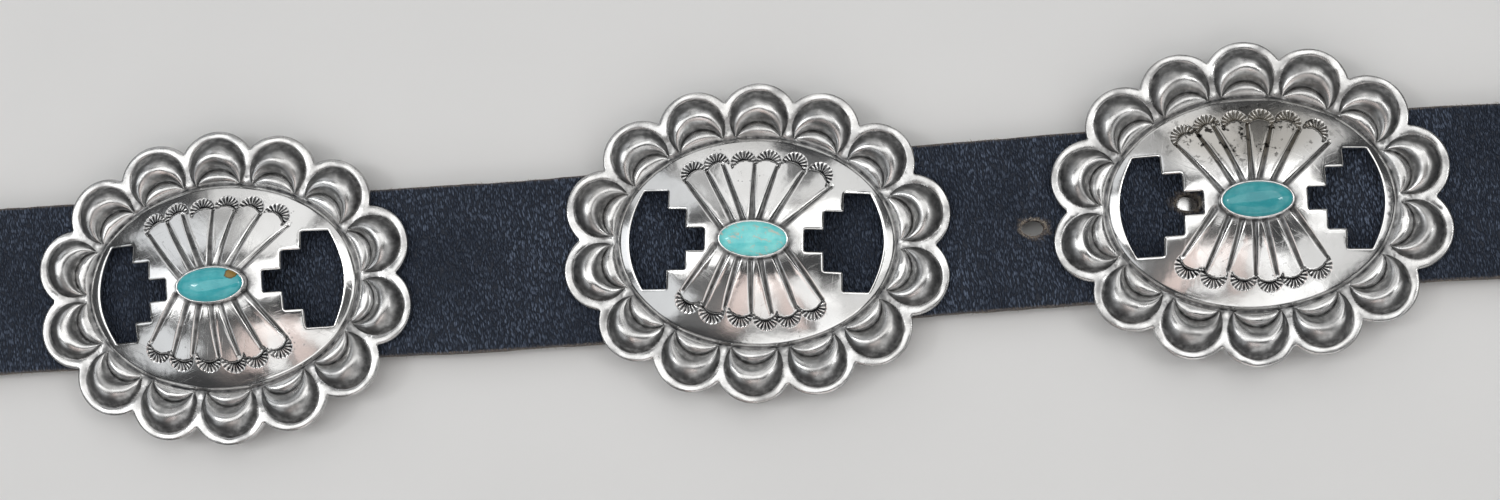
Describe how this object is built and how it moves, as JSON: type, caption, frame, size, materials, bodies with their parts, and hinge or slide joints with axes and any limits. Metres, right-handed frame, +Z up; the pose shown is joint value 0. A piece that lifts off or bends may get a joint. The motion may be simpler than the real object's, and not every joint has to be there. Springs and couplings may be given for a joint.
{
  "type": "concho belt",
  "caption": "Leather strap belt with a row of scalloped, pierced oval silver conchos, each set with an oval turquoise, and a plain buckle.",
  "frame": {"origin": "under the middle of the belt's bounding box, on the surface it lies on", "axes": "+X along the strap from the buckle to the tip, +Y across the strap, +Z up, out of the conchos' fronts"},
  "size_m": [0.8508, 0.0518, 0.0126],
  "materials": {
    "silver": "hand-polished silver, fine scratches, dark oxide left in the recesses",
    "turquoise": "polished turquoise with faint tan matrix",
    "leather": "blue-black full-grain leather with a creased grain and raw cut edges"
  },
  "bodies": {
    "root": {"strap": "leather", "buckle": "silver", "concho_1": "silver", "concho_2": "silver", "concho_3": "silver", "concho_4": "silver", "concho_5": "silver", "concho_6": "silver", "concho_7": "silver", "concho_8": "silver", "concho_9": "silver", "stone_1": "turquoise", "stone_2": "turquoise", "stone_3": "turquoise", "stone_4": "turquoise", "stone_5": "turquoise", "stone_6": "turquoise", "stone_7": "turquoise", "stone_8": "turquoise", "stone_9": "turquoise"}
  },
  "joints": []
}
